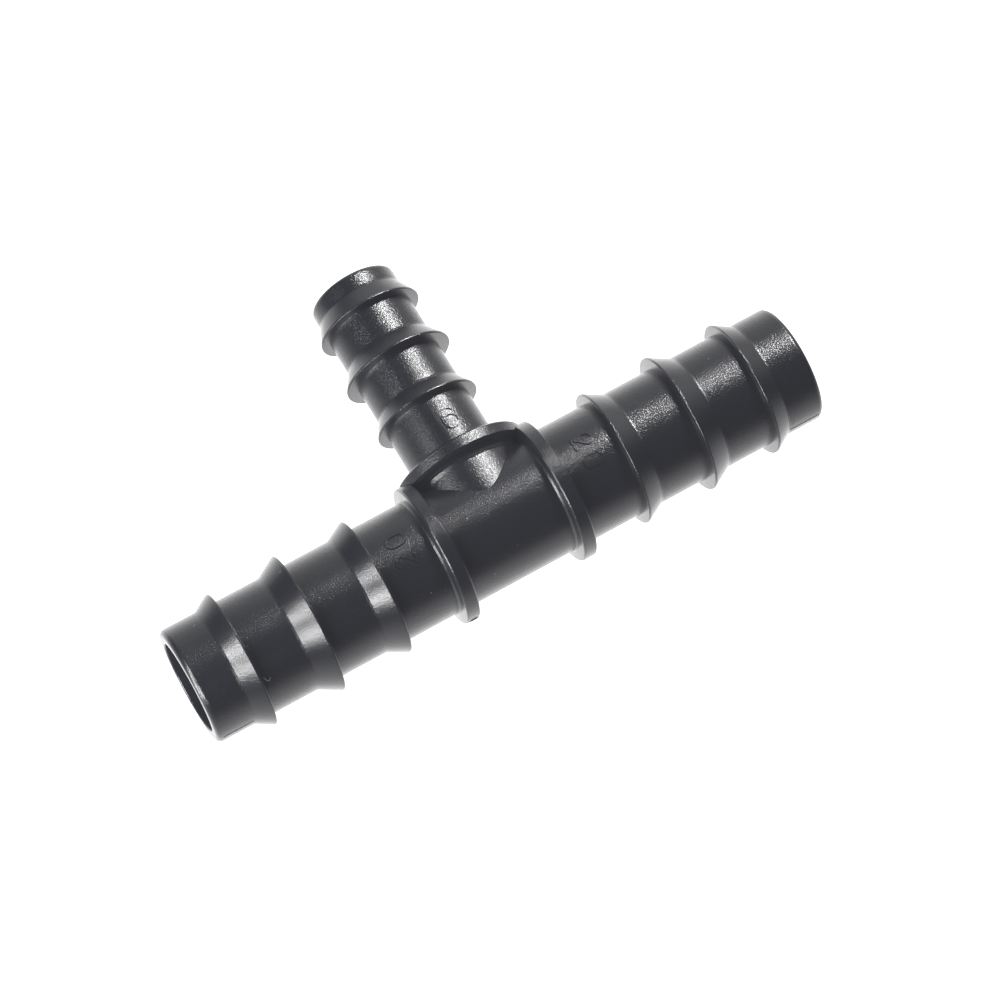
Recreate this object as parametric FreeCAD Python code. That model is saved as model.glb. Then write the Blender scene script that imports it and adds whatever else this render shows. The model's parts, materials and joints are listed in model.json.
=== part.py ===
import FreeCAD, Part

import math
import os

# Barbed tee connector for low-density polyethylene irrigation pipe: a straight run for 20 mm pipe
# along X and a reduced branch for 16 mm pipe along +Y.
# The real fitting is one moulding, so its moulded features are the separate solids here, and they
# meet face to face. The origin is where the run and branch axes cross. +Z is square to both.

# ---- driving dimensions, mm -------------------------------------------------------------------
RUN_OD = 17.2                 # plain outside diameter of the run's spigots and barrel
RUN_BORE = 13.4               # waterway of the run
RUN_TIP = 48.0                # from the branch axis to each end of the run
BRANCH_OD = 13.0              # plain outside diameter of the branch spigot
BRANCH_BORE = 9.4             # waterway of the branch
BRANCH_TIP = 40.5             # from the run axis to the end of the branch
NECK_OD = 16.8                # boss between the barrel and the branch collar

RUN_COLLAR_OD = 20.9          # pipe stop on each end of the run
RUN_COLLAR_INNER = 8.25       # from the branch axis to the collar's hub side
BRANCH_COLLAR_OD = 20.0       # pipe stop on the branch
BRANCH_COLLAR_INNER = 8.2     # from the run axis to the collar's hub side
COLLAR_RIM = 2.0              # width of each collar at its rim
COLLAR_DRAFT = 0.15           # how much wider each side of a collar is at its root
COLLAR_EDGE = 0.28            # rounding of the run collars' rims, and bevel of the branch collar's
COLLAR_FOOT = 0.25            # bevel where each side of a run collar meets its tube
NECK_FILLET = 1.1             # hollow where the neck meets the branch collar

# Barbs in order from the collar to the tip: (crest position, crest diameter, length of the ramp).
# The last one is part of the spigot's tip, which ends in a plain nose.
RUN_BARBS = [(18.95, 20.1, 2.9), (29.45, 20.6, 3.2), (39.85, 20.0, 2.55)]
BRANCH_BARBS = [(18.7, 15.7, 2.4), (26.95, 16.4, 2.8), (35.0, 15.6, 2.8)]
CREST_LAND = 0.3              # narrow flat on top of each barb
CREST_EDGE = 0.13             # rounding of the crest's two edges
RAMP_FOOT = 0.3               # length of the gentler slope at the foot of each ramp
BARB_UNDERCUT = 0.1           # how much wider a barb's back is at its root

TIP_EDGE = 0.8                # rounding outside each spigot's mouth
MOUTH_EDGE = 0.2              # rounding inside each spigot's mouth

# Nominal-size numerals: (distance from the hub, height along the spigot, width round the spigot).
RUN_MARK = (14.65, 3.1, 2.05)
BRANCH_MARK = (14.4, 3.4, 2.4)
MARK_STROKE = 0.3             # width of the raised stroke
MARK_RELIEF = 0.2             # how far the stroke stands out of the spigot
MARK_TURN = 10.4              # angle in degrees from the top of the spigot to each numeral

# ---- worked out from them ---------------------------------------------------------------------
RUN_R = RUN_OD / 2
BRANCH_R = BRANCH_OD / 2
RUN_COLLAR_OUTER = RUN_COLLAR_INNER + COLLAR_RIM
BRANCH_COLLAR_OUTER = BRANCH_COLLAR_INNER + COLLAR_RIM
RUN_SPLIT = RUN_COLLAR_INNER + COLLAR_RIM / 2         # barrel and spigots meet under the collars
BRANCH_SPLIT = BRANCH_COLLAR_INNER + COLLAR_RIM / 2   # neck and spigot meet inside the collar

X = FreeCAD.Vector(1, 0, 0)
Y = FreeCAD.Vector(0, 1, 0)
Z = FreeCAD.Vector(0, 0, 1)
ORIGIN = FreeCAD.Vector(0, 0, 0)


# ---- helpers ----------------------------------------------------------------------------------
def turned(corners):
    """Ring about +X from (position along X, radius, corner rounding) points in order."""
    points = [FreeCAD.Vector(along, radius, 0) for along, radius, _ in corners]
    edges = []
    start = None
    first = None
    for i, point in enumerate(points):
        before = (points[i - 1] - point).normalize()
        after = (points[(i + 1) % len(points)] - point).normalize()
        rounding = corners[i][2]
        enter = point
        leave = point
        if rounding:
            half = before.getAngle(after) / 2
            enter = point + before * (rounding / math.tan(half))
            leave = point + after * (rounding / math.tan(half))
            middle = (before + after).normalize()
            mid = point + middle * (rounding / math.sin(half) - rounding)
        if start is not None:
            edges.append(Part.makeLine(start, enter))
        if rounding:
            edges.append(Part.Arc(enter, mid, leave).toShape())
        if first is None:
            first = enter
        start = leave
    edges.append(Part.makeLine(start, first))
    face = Part.Face(Part.Wire(edges))
    return face.revolve(ORIGIN, X, 360)


def mirrored_to_left(shape):
    """The same feature on the other end of the run."""
    return shape.mirror(ORIGIN, X)


def turned_to_branch(shape):
    """A feature made about +X, moved to the branch axis +Y."""
    placed = shape.copy()
    placed.rotate(ORIGIN, Z, 90)
    return placed


def rod(radius, start, end, axis):
    """Solid cylinder about one of the fitting's axes."""
    return Part.makeCylinder(radius, end - start, axis * start, axis)


# ---- sub-parts --------------------------------------------------------------------------------
def barrel():
    """Middle of the run, between the two end spigots, open to the branch."""
    shape = rod(RUN_R, -RUN_SPLIT, RUN_SPLIT, X)
    shape = shape.cut(rod(RUN_BORE / 2, -RUN_SPLIT, RUN_SPLIT, X))
    return shape.cut(rod(BRANCH_BORE / 2, 0, BRANCH_SPLIT, Y))


def neck():
    """Boss that stands on the barrel and carries the branch collar and spigot."""
    shape = rod(NECK_OD / 2, 0, BRANCH_SPLIT, Y)
    shape = shape.cut(rod(RUN_R, -NECK_OD, NECK_OD, X))
    return shape.cut(rod(BRANCH_BORE / 2, 0, BRANCH_SPLIT, Y))


def back_root(crest):
    """Where the steep back of a barb meets its tube."""
    return crest - CREST_LAND / 2 - BARB_UNDERCUT


def spigot(outer, bore, start, barbs):
    """Plain tube about +X, from its root inside the collar to the back of the last barb."""
    end = back_root(barbs[-1][0])
    return turned([
        (start, bore / 2, 0),
        (end, bore / 2, 0),
        (end, outer / 2, 0),
        (start, outer / 2, 0),
    ])


def barb_corners(crest, crest_od, ramp, outer):
    """Outline of a hose barb: a ramp from the tip's side up to a narrow crest, and a steep back."""
    foot = crest + ramp
    return [
        (foot + RAMP_FOOT / 2, outer / 2, 0),
        (foot - RAMP_FOOT / 2, outer / 2 + RAMP_FOOT / 5, RAMP_FOOT / 2),
        (crest + CREST_LAND / 2, crest_od / 2, CREST_EDGE),
        (crest - CREST_LAND / 2, crest_od / 2, CREST_EDGE),
        (back_root(crest), outer / 2, 0),
    ]


def tip(outer, bore, end, barbs):
    """End of a spigot about +X: the last barb, then a plain nose with a rounded mouth."""
    return turned([
        (back_root(barbs[-1][0]), bore / 2, 0),
        (end, bore / 2, MOUTH_EDGE),
        (end, outer / 2, TIP_EDGE),
        *barb_corners(*barbs[-1], outer),
    ])


def run_collar():
    """Pipe stop round the joint of barrel and spigot, slightly thinner at the rim."""
    inner_root = RUN_COLLAR_INNER - COLLAR_DRAFT
    outer_root = RUN_COLLAR_OUTER + COLLAR_DRAFT
    return turned([
        (inner_root - COLLAR_FOOT, RUN_R, 0),
        (inner_root, RUN_R + COLLAR_FOOT, 0),
        (RUN_COLLAR_INNER, RUN_COLLAR_OD / 2, COLLAR_EDGE),
        (RUN_COLLAR_OUTER, RUN_COLLAR_OD / 2, COLLAR_EDGE),
        (outer_root, RUN_R + COLLAR_FOOT, 0),
        (outer_root + COLLAR_FOOT, RUN_R, 0),
    ])


def branch_collar(run_collars):
    """Pipe stop of the branch: seated on the end of the neck, closed in by the run's collars."""
    rim = BRANCH_COLLAR_OD / 2
    root = BRANCH_COLLAR_INNER - COLLAR_DRAFT
    shape = turned_to_branch(turned([
        (root - NECK_FILLET, NECK_OD / 2, 0),
        (root - NECK_FILLET / 2, NECK_OD / 2 + NECK_FILLET / 8, 0),
        (root - NECK_FILLET / 8, NECK_OD / 2 + NECK_FILLET / 2, 0),
        (root, NECK_OD / 2 + NECK_FILLET, 0),
        (BRANCH_COLLAR_INNER, rim - COLLAR_EDGE, 0),
        (BRANCH_COLLAR_INNER + COLLAR_EDGE, rim, 0),
        (BRANCH_COLLAR_OUTER - COLLAR_EDGE, rim, 0),
        (BRANCH_COLLAR_OUTER, rim - COLLAR_EDGE, 0),
        (BRANCH_COLLAR_OUTER + COLLAR_DRAFT, BRANCH_R, 0),
        (BRANCH_SPLIT, BRANCH_R, 0),
        (BRANCH_SPLIT, NECK_OD / 2, 0),
    ]))
    shape = shape.cut(rod(RUN_R, -BRANCH_COLLAR_OD, BRANCH_COLLAR_OD, X))
    for collar in run_collars:
        shape = shape.cut(collar)
    return shape


# ---- raised nominal-size numerals ---------------------------------------------------------------
def stroke(points):
    """Flat band with round ends along an arc through three points, then straight lines to the rest."""
    places = [FreeCAD.Vector(across, up, 0) for across, up in points]
    edges = [Part.Arc(places[0], places[1], places[2]).toShape()]
    for a, b in zip(places[2:], places[3:]):
        edges.append(Part.makeLine(a, b))
    return Part.Wire(edges).makeOffset2D(MARK_STROKE / 2, 0, True, False)


def numeral_strokes(numeral, height, width):
    """Strokes of one numeral, centred on the origin with its top towards +Y."""
    side = (width - MARK_STROKE) / 2
    top = (height - MARK_STROKE) / 2
    bend = top - side
    if numeral == "0":
        return [stroke([(side, bend), (0, top), (-side, bend), (-side, -bend)]),
                stroke([(-side, -bend), (0, -top), (side, -bend), (side, bend)])]
    if numeral == "1":
        return [stroke([(-side / 2, top - side / 2), (-side / 5, top - side / 3), (0, top), (0, -top)])]
    if numeral == "2":
        return [stroke([(-side, bend), (0, top), (side, bend), (-side, -top), (side, -top)])]
    return [stroke([(-side, -bend), (0, -top), (side, -bend)]),
            stroke([(side, -bend), (0, side - bend), (-side, -bend)]),
            stroke([(side * 0.8, bend + side * 0.6), (0, top), (-side, bend), (-side, -bend)])]


def size_mark(numeral, tube_r, mark, turn, toward_tip):
    """Raised numeral on top of a spigot along +Y, turned about the spigot's axis by an angle."""
    along, height, width = mark
    strokes = [flat.extrude(Z * tube_r) for flat in numeral_strokes(numeral, height, width)]
    solid = strokes[0]
    for another in strokes[1:]:
        solid = solid.fuse(another).removeSplitter()
    solid.translate(Y * along + Z * (tube_r / 2))
    solid.rotate(ORIGIN, Y, turn)
    shell = rod(tube_r + MARK_RELIEF, along - height, along + height, Y)
    shell = shell.cut(rod(tube_r, along - height, along + height, Y))
    solid = solid.common(shell)
    solid.rotate(ORIGIN, Z, toward_tip)
    return solid


# ---- the fitting ------------------------------------------------------------------------------
def fitting():
    """Every sub-part by name."""
    run_spigot = spigot(RUN_OD, RUN_BORE, RUN_SPLIT, RUN_BARBS)
    run_tip = tip(RUN_OD, RUN_BORE, RUN_TIP, RUN_BARBS)
    branch_spigot = spigot(BRANCH_OD, BRANCH_BORE, BRANCH_SPLIT, BRANCH_BARBS)
    branch_tip = tip(BRANCH_OD, BRANCH_BORE, BRANCH_TIP, BRANCH_BARBS)
    collar = run_collar()
    left_collar = mirrored_to_left(collar)
    parts = {
        "run_barrel": barrel(),
        "branch_neck": neck(),
        "right_collar": collar,
        "left_collar": left_collar,
        "branch_collar": branch_collar([collar, left_collar]),
        "right_spigot": run_spigot,
        "left_spigot": mirrored_to_left(run_spigot),
        "branch_spigot": turned_to_branch(branch_spigot),
        "right_tip": run_tip,
        "left_tip": mirrored_to_left(run_tip),
        "branch_tip": turned_to_branch(branch_tip),
    }
    for number, barb in enumerate(RUN_BARBS[:-1], 1):
        ring = turned(barb_corners(*barb, RUN_OD))
        parts[f"right_barb_{number}"] = ring
        parts[f"left_barb_{number}"] = mirrored_to_left(ring)
    for number, barb in enumerate(BRANCH_BARBS[:-1], 1):
        parts[f"branch_barb_{number}"] = turned_to_branch(turned(barb_corners(*barb, BRANCH_OD)))
    marks = {
        "left": ("20", RUN_R, RUN_MARK, 90),
        "right": ("20", RUN_R, RUN_MARK, -90),
        "branch": ("16", BRANCH_R, BRANCH_MARK, 0),
    }
    for end, (size, tube_r, mark, toward_tip) in marks.items():
        for numeral, turn in zip(size, (-MARK_TURN, MARK_TURN)):
            parts[f"{end}_mark_{numeral}"] = size_mark(numeral, tube_r, mark, turn, toward_tip)
    return parts


os.makedirs("parts", exist_ok=True)
for name, shape in fitting().items():
    solid = shape.Solids[0]
    solid.exportStep(f"parts/{name}.step")
    print(f"{name:16s} solids {len(shape.Solids)}  volume {solid.Volume:9.3f} mm3  valid {solid.isValid()}")
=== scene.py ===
import json
import math
import random

import bpy
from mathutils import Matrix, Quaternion, Vector


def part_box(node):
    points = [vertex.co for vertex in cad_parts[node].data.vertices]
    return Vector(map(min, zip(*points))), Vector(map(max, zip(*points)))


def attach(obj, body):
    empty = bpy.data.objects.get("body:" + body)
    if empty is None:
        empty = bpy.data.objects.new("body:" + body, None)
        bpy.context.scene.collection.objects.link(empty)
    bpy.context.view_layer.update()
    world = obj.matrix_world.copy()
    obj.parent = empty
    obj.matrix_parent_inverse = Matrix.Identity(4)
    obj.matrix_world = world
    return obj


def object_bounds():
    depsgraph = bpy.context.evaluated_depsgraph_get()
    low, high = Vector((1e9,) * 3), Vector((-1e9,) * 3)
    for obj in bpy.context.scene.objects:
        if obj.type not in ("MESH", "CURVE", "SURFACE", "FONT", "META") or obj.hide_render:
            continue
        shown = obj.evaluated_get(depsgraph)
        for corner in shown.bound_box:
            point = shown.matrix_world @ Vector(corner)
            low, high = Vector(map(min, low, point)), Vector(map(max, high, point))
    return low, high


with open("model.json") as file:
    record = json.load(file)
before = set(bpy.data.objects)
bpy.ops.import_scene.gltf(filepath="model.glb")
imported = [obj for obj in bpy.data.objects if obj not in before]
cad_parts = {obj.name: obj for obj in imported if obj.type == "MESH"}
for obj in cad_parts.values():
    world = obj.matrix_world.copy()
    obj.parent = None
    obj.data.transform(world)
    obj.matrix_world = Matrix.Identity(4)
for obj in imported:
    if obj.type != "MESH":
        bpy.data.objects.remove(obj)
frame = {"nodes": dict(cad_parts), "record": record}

CAD_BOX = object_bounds()
MOUNTS = {mount["name"]: mount for mount in frame["record"]["mounts"]}

# Sizes are in metres. The run lies along X and the branch along +Y, and their axes cross at the origin.
# ---- camera -------------------------------------------------------------------------------------
VIEW_AZIMUTH = -30.09         # degrees: 0 looks along +Y
VIEW_ELEVATION = 68.15        # degrees above the horizon
VIEW_DISTANCE = 0.5265        # from the aim point to the camera
AIM_RIGHT = 0.0007            # the aim point's offset from the origin across the picture
AIM_UP = 0.0031               # and up it
SENSOR = 36                   # mm
LENS = 137.66                 # mm
CLIP = (0.01, 10)             # nearest and farthest that the camera sees

# ---- light --------------------------------------------------------------------------------------
ROOM = 0.03                   # brightness of the dim room around the table
PANEL = 1.65                  # brightness of the wide soft panel behind the branch
PANEL_TOWARDS = (140, 3)      # azimuth and elevation of its middle
PANEL_EDGE = (0.45, 0.9)      # cosines of the angles from its middle where it is faded out and full
TABLE = (                     # pools of light on the table: centre, full out to, faded out at, brightness
    ((0, 0), 0.10, 0.16, 1.05),
    ((0, 0), 0.03, 0.10, 0.8),
    ((0.06, 0.22), 0.08, 0.22, 1.4),
)
TABLE_HALF = 2.0              # half the table's side
TABLE_TOP = {
    "Base Color": (0.05, 0.05, 0.05, 1),
    "Roughness": 0.9,
    "Specular IOR Level": 0.0,
    "Emission Color": (1, 1, 1, 1),
}
GLARE = 0.0245                # light that the bright table throws over the whole picture
GLARE_TINT = (0.97, 0.985, 1.15)
LAMPS = {
    "key": {
        "azimuth": 123.4, "elevation": 49.8, "distance": 0.90,
        "size": (0.24, 0.049), "turn": 44, "power": 20.5,
    },
    "side_back": {
        "azimuth": -85.5, "elevation": 14.8, "distance": 0.20,
        "size": (0.40, 0.035), "turn": 109, "power": 2.1,
    },
    "side_front": {
        "azimuth": -55.3, "elevation": 31.7, "distance": 0.57,
        "size": (0.40, 0.12), "turn": 34, "power": 7.6,
    },
}

# ---- plastic ------------------------------------------------------------------------------------
CHARCOAL = (0.0024, 0.0026, 0.0034)
PALE = (0.11, 0.11, 0.10)                 # dust, and the torn lip of a nick
RUBBED = (0.014, 0.016, 0.016)            # where the surface has been scuffed
MOULDED = {                               # a broad sheen, with a sharper one over it
    "IOR": 1.5,
    "Specular IOR Level": 0.13,
    "Coat Weight": 0.6,
    "Coat IOR": 1.3,
    "Coat Roughness": 0.17,
}
GRAIN = {"size": 0.0002, "detail": 2.5, "seed": 1.0}
GRAIN_DEPTH = 0.00006
SLOPE = (0.2, 0.35)                       # sines of the slopes between which the grain gets shallower
SLOPE_GRAIN = 0.65                        # share of its depth that is left on the steeper slopes
POLISH = {"size": 0.0008, "detail": 2.0, "seed": 5.0}
POLISH_SPAN = (0.3, 0.7)                  # values of that noise over which the roughness changes
ROUGHNESS = (0.276, 0.29)                 # least and most
CLOUDS = {"size": 0.0012, "detail": 3.0, "seed": 9.0}
CLOUD_SHADES = (0.85, 1.15)               # darkest and lightest, as shares of the colour
DUST_SPACING = 0.0025
DUST_EDGE = (0.02, 0.035)                 # a speck's solid and whole radius, as shares of the spacing
WORN = {"Specular IOR Level": 0.1, "Roughness": 0.7}
WORN_MOTTLE = 0.0002                      # size of its light and dark spots
WORN_SHADES = (0.6, 1.4)

# ---- small marks on the run ---------------------------------------------------------------------
# Angles go round the run from +Z towards -Y. Paths are points as (distance from an edge, angle).
SEAM = 0.00004                            # how far the parting line stands out of the plain noses
GATE_ANGLE = 99.5                         # where the runner was torn off the rim of the left collar
GATE_SIZE = (0.0014, 0.0010, 0.00012)     # across the rim, round it, and out of it
GATE_ROOT = 0.0002                        # how far the stub reaches into the rim
GATE_LOWEST = 0.45                        # least height of its torn surface, as a share, before it falls off
GATE_RAGGED = 0.25                        # largest share of its width that is missing at its ends
NICK_LIP = 0.000035                       # how far a nick's torn lip stands out
NICK = (                                  # on the left tube, from the back of the third barb
    (0.0004, 43), (0.0007, 48), (0.0010, 49), (0.0013, 46),
)
RUB_LIP = NICK_LIP / 2
COLLAR_RUBS = (                           # on the left tube, outwards from the collar
    ((0.00225, 52), (0.00245, 60), (0.00245, 68), (0.00235, 76)),
    ((0.00165, 55), (0.00185, 62), (0.00185, 70), (0.00175, 78)),
    ((0.00065, 50), (0.00115, 54), (0.00125, 60)),
)
NOSE_RUB = ((0.0017, 65), (0.0027, 67))   # on the left nose, inwards from the mouth

MIX_FACTOR, MIX_FIRST, MIX_SECOND, MIX_RESULT = 0, 6, 7, 2     # a Mix node's sockets for colours


# ---- material nodes -----------------------------------------------------------------------------
def new_material(name, constants):
    """A material whose shader has these constants, and its node for places on the object."""
    material = bpy.data.materials.new(name)
    material.use_nodes = True
    tree = material.node_tree
    shader = tree.nodes["Principled BSDF"]
    for socket, value in constants.items():
        shader.inputs[socket].default_value = value
    return material, tree, shader, tree.nodes.new("ShaderNodeTexCoord")


def feed(tree, socket, value):
    """Links another node's output to an input, or sets the input to a constant."""
    if isinstance(value, bpy.types.NodeSocket):
        tree.links.new(value, socket)
    else:
        socket.default_value = value


def arithmetic(tree, operation, *values):
    node = tree.nodes.new("ShaderNodeMath")
    node.operation = operation
    for socket, value in zip(node.inputs, values):
        feed(tree, socket, value)
    return node.outputs[0]


def ramp(tree, value, span, result, easing="LINEAR"):
    """Takes a value from one span to another, and holds it past the ends."""
    node = tree.nodes.new("ShaderNodeMapRange")
    node.interpolation_type = easing
    for socket, number in zip(("From Min", "From Max", "To Min", "To Max"), (*span, *result)):
        node.inputs[socket].default_value = number
    tree.links.new(value, node.inputs["Value"])
    return node.outputs["Result"]


def noise(tree, place, size, detail, seed):
    """A random value from 0 to 1 that changes over this size."""
    node = tree.nodes.new("ShaderNodeTexNoise")
    node.noise_dimensions = "4D"
    node.inputs["W"].default_value = seed
    node.inputs["Scale"].default_value = 1 / size
    node.inputs["Detail"].default_value = detail
    tree.links.new(place.outputs["Object"], node.inputs["Vector"])
    return node.outputs["Fac"]


def blend(tree, share, first, second):
    """A colour between two others, each a constant or another node's output."""
    node = tree.nodes.new("ShaderNodeMix")
    node.data_type = "RGBA"
    feed(tree, node.inputs[MIX_FACTOR], share)
    feed(tree, node.inputs[MIX_FIRST], first)
    feed(tree, node.inputs[MIX_SECOND], second)
    return node.outputs[MIX_RESULT]


def shades(colour, factors):
    """A darker and a lighter shade of a colour."""
    return [(*(factor * part for part in colour), 1) for factor in factors]


# ---- camera and light ---------------------------------------------------------------------------
def direction(azimuth, elevation):
    """Unit vector from the object towards something seen at this bearing; azimuth 0 is towards -Y."""
    a, e = math.radians(azimuth), math.radians(elevation)
    return Vector((math.sin(a) * math.cos(e), -math.cos(a) * math.cos(e), math.sin(e)))


def aim(obj, target):
    """Points a camera or a light at a place."""
    obj.rotation_mode = "QUATERNION"
    obj.rotation_quaternion = (target - obj.location).to_track_quat("-Z", "Y")


def add_camera():
    back = direction(VIEW_AZIMUTH, VIEW_ELEVATION)
    right = Vector((0, 0, 1)).cross(back).normalized()
    target = right * AIM_RIGHT + back.cross(right) * AIM_UP
    data = bpy.data.cameras.new("camera")
    data.sensor_width = SENSOR
    data.lens = LENS
    data.clip_start, data.clip_end = CLIP
    camera = bpy.data.objects.new("camera", data)
    camera.location = target + back * VIEW_DISTANCE
    aim(camera, target)
    bpy.context.scene.collection.objects.link(camera)
    bpy.context.scene.camera = camera


def add_light(name, azimuth, elevation, distance, size, turn, power):
    """An elliptical soft lamp, turned about its own axis by an angle in degrees."""
    data = bpy.data.lights.new(name, "AREA")
    data.shape = "ELLIPSE"
    data.size, data.size_y = size
    data.energy = power
    lamp = bpy.data.objects.new(name, data)
    lamp.location = direction(azimuth, elevation) * distance
    aim(lamp, Vector((0, 0, 0)))
    lamp.rotation_quaternion = lamp.rotation_quaternion @ Quaternion((0, 0, 1), math.radians(turn))
    lamp.visible_camera = False
    bpy.context.scene.collection.objects.link(lamp)


def add_world():
    """A dim room with one wide soft panel."""
    world = bpy.data.worlds.new("room")
    world.use_nodes = True
    tree = world.node_tree
    place = tree.nodes.new("ShaderNodeTexCoord")
    facing = tree.nodes.new("ShaderNodeVectorMath")
    facing.operation = "DOT_PRODUCT"
    facing.inputs[1].default_value = direction(*PANEL_TOWARDS)
    tree.links.new(place.outputs["Generated"], facing.inputs[0])
    glow = ramp(tree, facing.outputs["Value"], PANEL_EDGE, (ROOM, PANEL), "SMOOTHSTEP")
    background = tree.nodes["Background"]
    background.inputs["Color"].default_value = (1, 1, 1, 1)
    tree.links.new(glow, background.inputs["Strength"])
    bpy.context.scene.world = world


def add_floor(z):
    """A light table, brightest round the object."""
    material, tree, shader, place = new_material("floor_white", TABLE_TOP)
    glow = ROOM
    for centre, full, faded, brightness in TABLE:
        spread = tree.nodes.new("ShaderNodeVectorMath")
        spread.operation = "DISTANCE"
        spread.inputs[1].default_value = (*centre, z)
        tree.links.new(place.outputs["Object"], spread.inputs[0])
        pool = ramp(tree, spread.outputs["Value"], (full, faded), (brightness, 0), "SMOOTHSTEP")
        glow = arithmetic(tree, "ADD", pool, glow)
    tree.links.new(glow, shader.inputs["Emission Strength"])

    mesh = bpy.data.meshes.new("floor")
    half = TABLE_HALF
    corners = [(-half, -half, z), (half, -half, z), (half, half, z), (-half, half, z)]
    mesh.from_pydata(corners, [], [(0, 1, 2, 3)])
    mesh.materials.append(material)
    floor = bpy.data.objects.new("floor", mesh)
    bpy.context.scene.collection.objects.link(floor)


def set_view():
    """Plain colours, with the glare of the bright table over the dark parts."""
    view = bpy.context.scene.view_settings
    view.view_transform = "Standard"
    view.use_curve_mapping = True
    view.curve_mapping.black_level = [-GLARE * tint for tint in GLARE_TINT]
    view.curve_mapping.update()


# ---- plastic ------------------------------------------------------------------------------------
def plastic(name, along):
    """Charcoal moulded plastic with a spark-eroded grain, shallower where it slopes along an axis."""
    material, tree, shader, place = new_material(name, MOULDED)
    normal = tree.nodes.new("ShaderNodeSeparateXYZ")
    tree.links.new(place.outputs["Normal"], normal.inputs[0])
    slope = arithmetic(tree, "ABSOLUTE", normal.outputs[along])
    depth = ramp(tree, slope, SLOPE, (1, SLOPE_GRAIN))
    bump = tree.nodes.new("ShaderNodeBump")
    bump.inputs["Distance"].default_value = GRAIN_DEPTH
    height = arithmetic(tree, "MULTIPLY", noise(tree, place, **GRAIN), depth)
    tree.links.new(height, bump.inputs["Height"])
    for socket in ("Normal", "Coat Normal"):
        tree.links.new(bump.outputs["Normal"], shader.inputs[socket])

    rough = ramp(tree, noise(tree, place, **POLISH), POLISH_SPAN, ROUGHNESS)
    tree.links.new(rough, shader.inputs["Roughness"])

    clouded = blend(tree, noise(tree, place, **CLOUDS), *shades(CHARCOAL, CLOUD_SHADES))
    dust = tree.nodes.new("ShaderNodeTexVoronoi")
    dust.inputs["Scale"].default_value = 1 / DUST_SPACING
    tree.links.new(place.outputs["Object"], dust.inputs["Vector"])
    speck = ramp(tree, dust.outputs["Distance"], DUST_EDGE, (1, 0))
    tree.links.new(blend(tree, speck, clouded, (*PALE, 1)), shader.inputs["Base Color"])
    return material


def worn(name, colour):
    """Torn or scuffed plastic, dull and uneven."""
    material, tree, shader, place = new_material(name, WORN)
    mottle = tree.nodes.new("ShaderNodeTexNoise")
    mottle.inputs["Scale"].default_value = 1 / WORN_MOTTLE
    tree.links.new(place.outputs["Object"], mottle.inputs["Vector"])
    mottled = blend(tree, mottle.outputs["Fac"], *shades(colour, WORN_SHADES))
    tree.links.new(mottled, shader.inputs["Base Color"])
    return material


def dress(node, material):
    """Gives a CAD node its material."""
    mesh = frame["nodes"][node].data
    mesh.materials.clear()
    mesh.materials.append(material)


# ---- small marks --------------------------------------------------------------------------------
def add_piece(name, data, material):
    piece = bpy.data.objects.new(name, data)
    bpy.context.scene.collection.objects.link(piece)
    data.materials.append(material)
    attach(piece, "root")


def on_run(along, angle, radius):
    """Place on or above the run's surface, for an angle from +Z towards -Y."""
    turn = math.radians(angle)
    return Vector((along, -radius * math.sin(turn), radius * math.cos(turn)))


def beads(name, radius, paths, material):
    """Thin round beads laid along paths."""
    curve = bpy.data.curves.new(name, "CURVE")
    curve.dimensions = "3D"
    curve.bevel_depth = radius
    curve.bevel_resolution = 2
    curve.use_fill_caps = True
    for path in paths:
        spline = curve.splines.new("POLY")
        spline.points.add(len(path) - 1)
        for point, place in zip(spline.points, path):
            point.co = (*place, 1)
    add_piece(name, curve, material)


def parting_line(radius, material):
    """Flash left on the plain noses of the run, where the two halves of the mould met."""
    paths = []
    for end in ("left", "right"):
        nose = MOUNTS[end + "_spigot_nose"]
        middle = nose["pos_m"][0]
        half = nose["dims"]["length_mm"] / 1000 / 2
        for angle in (-90, 90):
            paths.append([on_run(middle - half, angle, radius), on_run(middle + half, angle, radius)])
    beads("parting_line", SEAM, paths, material)


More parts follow.
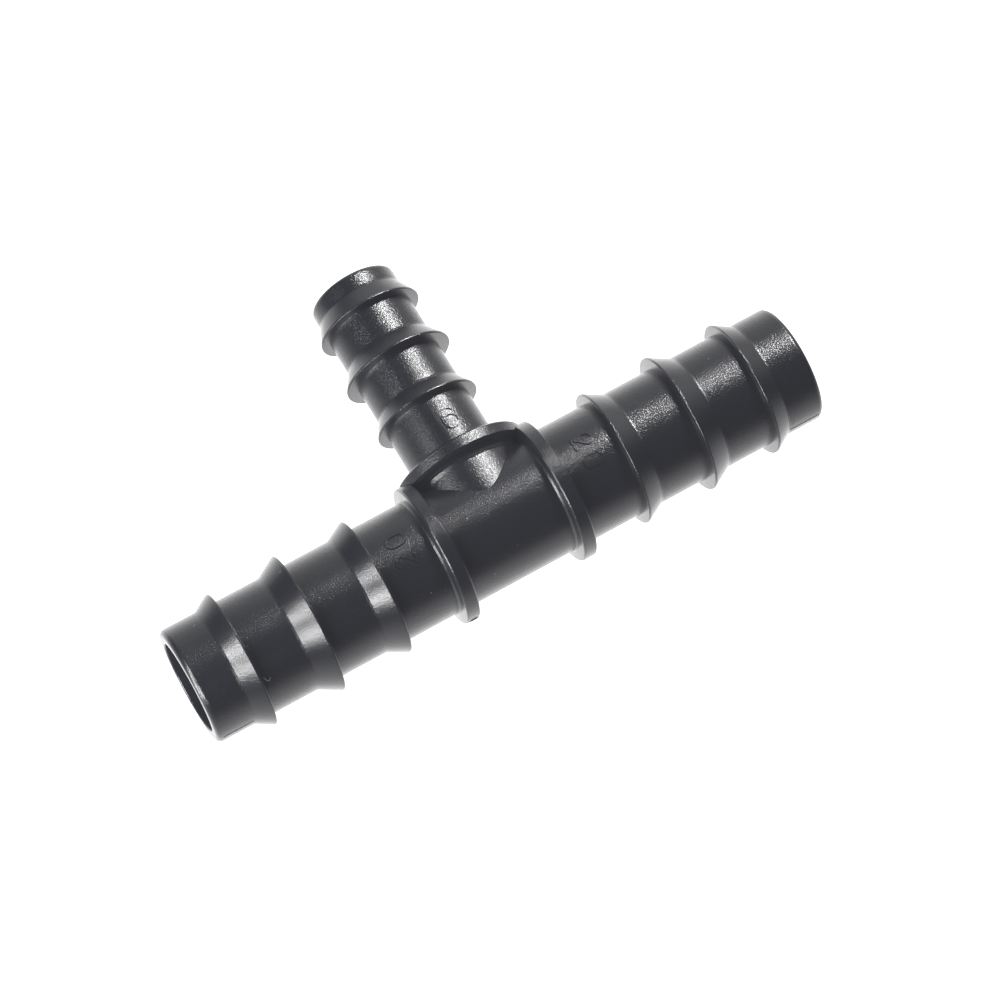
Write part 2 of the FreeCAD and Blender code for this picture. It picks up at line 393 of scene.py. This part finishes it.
def gate_mark(material):
    """The low torn stub left where the runner was broken off the rim of the left collar."""
    low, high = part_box("left_collar")
    rim, middle = high.z, (low.x + high.x) / 2
    width, length, height = GATE_SIZE
    steps_across, steps_round = 10, 8
    chance = random.Random(4)
    points = []
    for layer in (0, 1):
        for i in range(steps_across + 1):
            for k in range(steps_round + 1):
                u, v = 2 * i / steps_across - 1, 2 * k / steps_round - 1
                inside = max(0, 1 - u ** 4) * max(0, 1 - v ** 4)
                lift = height * inside * chance.uniform(GATE_LOWEST, 1) if layer else -GATE_ROOT
                edge = (1 - GATE_RAGGED * chance.random() * abs(v)) * width / 2
                angle = GATE_ANGLE + math.degrees(v * length / 2 / rim)
                points.append(on_run(middle + u * edge, angle, rim + lift))
    row = steps_round + 1
    layer_size = (steps_across + 1) * row
    faces = []
    for i in range(steps_across):
        for k in range(steps_round):
            a = i * row + k
            quad = (a, a + 1, a + row + 1, a + row)
            faces.append(quad[::-1])
            faces.append(tuple(layer_size + index for index in quad))
    border = [i * row for i in range(steps_across)]
    border += [steps_across * row + k for k in range(steps_round)]
    border += [i * row + steps_round for i in range(steps_across, 0, -1)]
    border += list(range(steps_round, 0, -1))
    for a, b in zip(border, border[1:] + border[:1]):
        faces.append((b, a, layer_size + a, layer_size + b))
    mesh = bpy.data.meshes.new("gate_mark")
    mesh.from_pydata(points, [], faces)
    mesh.update()
    add_piece("gate_mark", mesh, material)


def scuffs(radius, nicked, rubbed):
    """A nick behind the left end's third barb, and rub marks beside the left collar and on the nose."""
    tip_low, tip_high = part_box("left_tip")
    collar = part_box("left_collar")[0].x
    nick = [on_run(tip_high.x + along, angle, radius) for along, angle in NICK]
    rubs = [[on_run(collar - along, angle, radius) for along, angle in rub] for rub in COLLAR_RUBS]
    rubs.append([on_run(tip_low.x + along, angle, radius) for along, angle in NOSE_RUB])
    beads("nicks", NICK_LIP, [nick], nicked)
    beads("rub_marks", RUB_LIP, rubs, rubbed)


# ---- the scene ----------------------------------------------------------------------------------
add_camera()
add_world()
for name, lamp in LAMPS.items():
    add_light(name, **lamp)
add_floor(CAD_BOX[0].z)
set_view()

plastic_run = plastic("plastic_run", "X")
plastic_branch = plastic("plastic_branch", "Y")
for node in frame["nodes"]:
    dress(node, plastic_branch if node.startswith("branch") else plastic_run)

torn = worn("torn_plastic", CHARCOAL)
run_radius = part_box("left_spigot")[1].z
parting_line(run_radius, torn)
gate_mark(torn)
scuffs(run_radius, worn("nicked_plastic", PALE), worn("rubbed_plastic", RUBBED))
